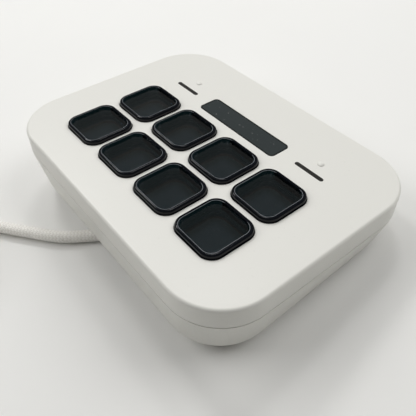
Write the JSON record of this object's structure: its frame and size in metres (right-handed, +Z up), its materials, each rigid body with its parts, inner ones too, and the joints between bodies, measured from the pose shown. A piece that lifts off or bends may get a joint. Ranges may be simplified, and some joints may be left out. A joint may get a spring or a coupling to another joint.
{
  "type": "display key macro pad",
  "caption": "Low wedge-shaped desk pad with two rows of clear display keys, a flush info window between two touch strips, and a fixed braided cable.",
  "frame": {"origin": "centre of the body's own box, on the table that its foot pad rests on", "axes": "+X to the user's right, +Y to the rear where the cable leaves, +Z up"},
  "size_m": [0.1295, 0.1711, 0.0259],
  "materials": {
    "shell_white": "satin, very fine texture",
    "pad_rubber": "matte",
    "smoked_lens": "polished, smoked",
    "strip_grey": "satin",
    "led_white": "clear",
    "mat_silicone": "matte",
    "board_green": "dark solder mask",
    "display_black": "polished",
    "backlight_white": "satin",
    "frame_steel": "pressed sheet",
    "screw_steel": "nickel plated",
    "ribbon_amber": "polyimide film",
    "chip_black": "matte",
    "socket_ivory": "matte",
    "ballast_steel": "zinc plated",
    "boot_rubber": "matte",
    "cable_braid": "woven sleeve",
    "grip_white": "satin",
    "plug_steel": "nickel plated",
    "key_black": "polished",
    "key_clear": "polished, clear"
  },
  "bodies": {
    "base": {"top_shell": "shell_white", "bottom_shell": "shell_white", "foot_pad": "pad_rubber", "info_window": "smoked_lens", "touch_strips": "strip_grey", "strip_leds": "led_white", "key_mat": "mat_silicone", "key_board": "board_green", "display_glass": "display_black", "backlight": "backlight_white", "display_frame": "frame_steel", "display_screws": "screw_steel", "display_ribbon": "ribbon_amber", "key_ribbon": "ribbon_amber", "main_board": "board_green", "board_chips": "chip_black", "board_sockets": "socket_ivory", "board_screws": "screw_steel", "ballast_plate": "ballast_steel", "shell_screws": "screw_steel", "cable_boot": "boot_rubber", "cable": "cable_braid", "cable_coil": "cable_braid", "cable_tail": "cable_braid", "plug_grip": "grip_white", "plug_shell": "plug_steel"},
    "key_1": {"key_frame_1": "key_black", "key_window_1": "key_clear"},
    "key_2": {"key_frame_2": "key_black", "key_window_2": "key_clear"},
    "key_3": {"key_frame_3": "key_black", "key_window_3": "key_clear"},
    "key_4": {"key_frame_4": "key_black", "key_window_4": "key_clear"},
    "key_5": {"key_frame_5": "key_black", "key_window_5": "key_clear"},
    "key_6": {"key_frame_6": "key_black", "key_window_6": "key_clear"},
    "key_7": {"key_frame_7": "key_black", "key_window_7": "key_clear"},
    "key_8": {"key_frame_8": "key_black", "key_window_8": "key_clear"}
  },
  "joints": [
    {"name": "key_1_press", "type": "slide", "parent": "base", "child": "key_1", "axis": [0, -0.1305, 0.9914], "range_m": [-0.0012, 0], "stiffness_N_per_m": 280, "springref_m": 0.001},
    {"name": "key_2_press", "type": "slide", "parent": "base", "child": "key_2", "axis": [0, -0.1305, 0.9914], "range_m": [-0.0012, 0], "stiffness_N_per_m": 280, "springref_m": 0.001},
    {"name": "key_3_press", "type": "slide", "parent": "base", "child": "key_3", "axis": [0, -0.1305, 0.9914], "range_m": [-0.0012, 0], "stiffness_N_per_m": 280, "springref_m": 0.001},
    {"name": "key_4_press", "type": "slide", "parent": "base", "child": "key_4", "axis": [0, -0.1305, 0.9914], "range_m": [-0.0012, 0], "stiffness_N_per_m": 280, "springref_m": 0.001},
    {"name": "key_5_press", "type": "slide", "parent": "base", "child": "key_5", "axis": [0, -0.1305, 0.9914], "range_m": [-0.0012, 0], "stiffness_N_per_m": 280, "springref_m": 0.001},
    {"name": "key_6_press", "type": "slide", "parent": "base", "child": "key_6", "axis": [0, -0.1305, 0.9914], "range_m": [-0.0012, 0], "stiffness_N_per_m": 280, "springref_m": 0.001},
    {"name": "key_7_press", "type": "slide", "parent": "base", "child": "key_7", "axis": [0, -0.1305, 0.9914], "range_m": [-0.0012, 0], "stiffness_N_per_m": 280, "springref_m": 0.001},
    {"name": "key_8_press", "type": "slide", "parent": "base", "child": "key_8", "axis": [0, -0.1305, 0.9914], "range_m": [-0.0012, 0], "stiffness_N_per_m": 280, "springref_m": 0.001}
  ]
}
